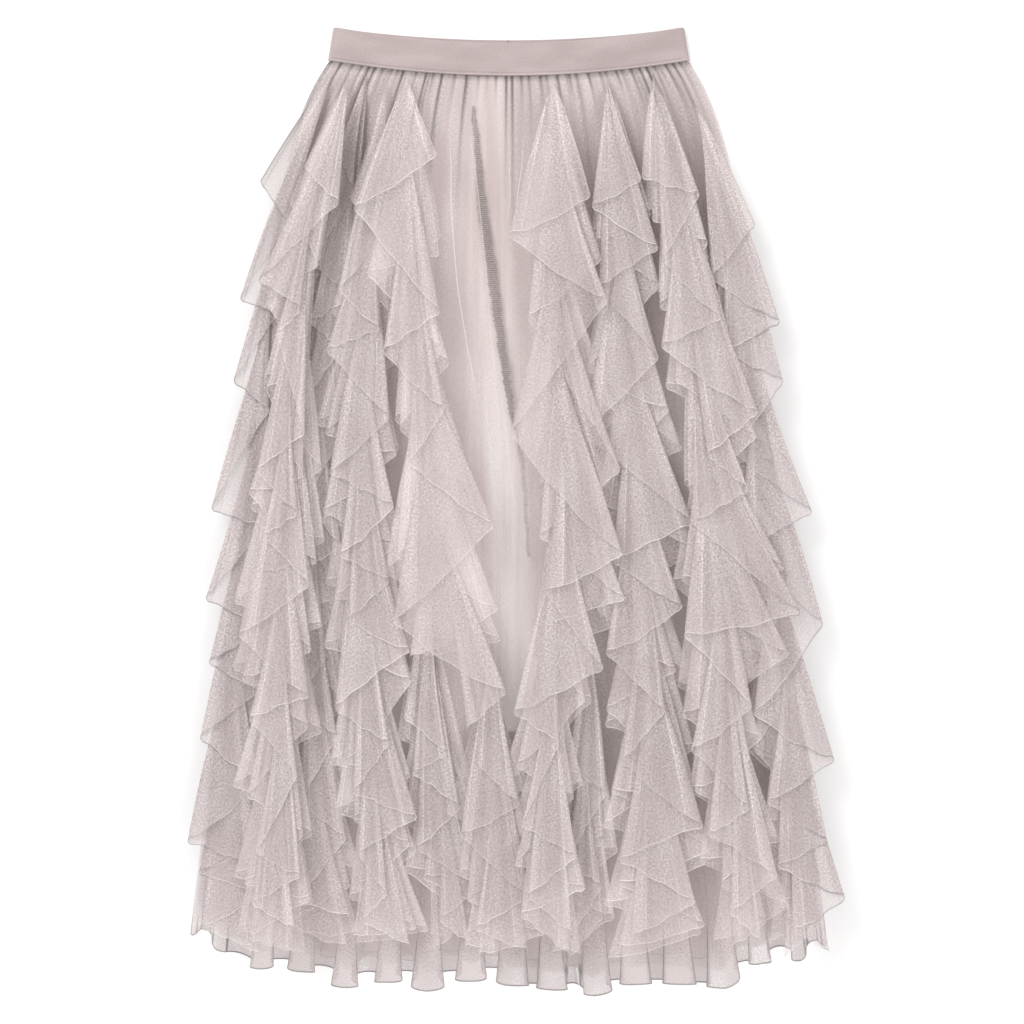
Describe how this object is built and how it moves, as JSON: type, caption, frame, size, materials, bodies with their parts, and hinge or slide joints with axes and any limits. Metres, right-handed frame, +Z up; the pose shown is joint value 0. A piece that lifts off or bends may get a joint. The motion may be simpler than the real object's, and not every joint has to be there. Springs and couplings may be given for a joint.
{
  "type": "tulle skirt",
  "caption": "Long tulle skirt laid flat, with an elastic waistband, a satin lining and cascading vertical ruffles down its front.",
  "frame": {"origin": "middle of the bounding box at the surface that the skirt lies on", "axes": "+Z up off the surface, +Y from the hem to the waistband, +X to the wearer's left, which is the right of the garment seen from above"},
  "size_m": [0.5905, 0.8738, 0.0767],
  "materials": {
    "elastic": "matt mauve-grey covered elastic with a fine rib",
    "satin": "pale pink satin lining with a soft sheen",
    "tulle": "mauve-grey tulle net, see-through, gathered",
    "ruffle_tulle": "mauve-grey tulle net, see-through, pressed into sharp folds"
  },
  "bodies": {
    "root": {"waistband": "elastic", "lining": "satin", "tulle_back": "tulle", "tulle_inner_front": "tulle", "tulle_front_left": "tulle", "tulle_front_right": "tulle", "ruffle_left_side": "ruffle_tulle", "ruffle_left_outer": "ruffle_tulle", "ruffle_left_middle": "ruffle_tulle", "ruffle_left_inner": "ruffle_tulle", "ruffle_left_front": "ruffle_tulle", "ruffle_low_left": "ruffle_tulle", "ruffle_low_middle": "ruffle_tulle", "ruffle_right_front": "ruffle_tulle", "ruffle_low_right": "ruffle_tulle", "ruffle_right_inner": "ruffle_tulle", "ruffle_right_outer": "ruffle_tulle", "ruffle_right_side": "ruffle_tulle"}
  },
  "joints": []
}
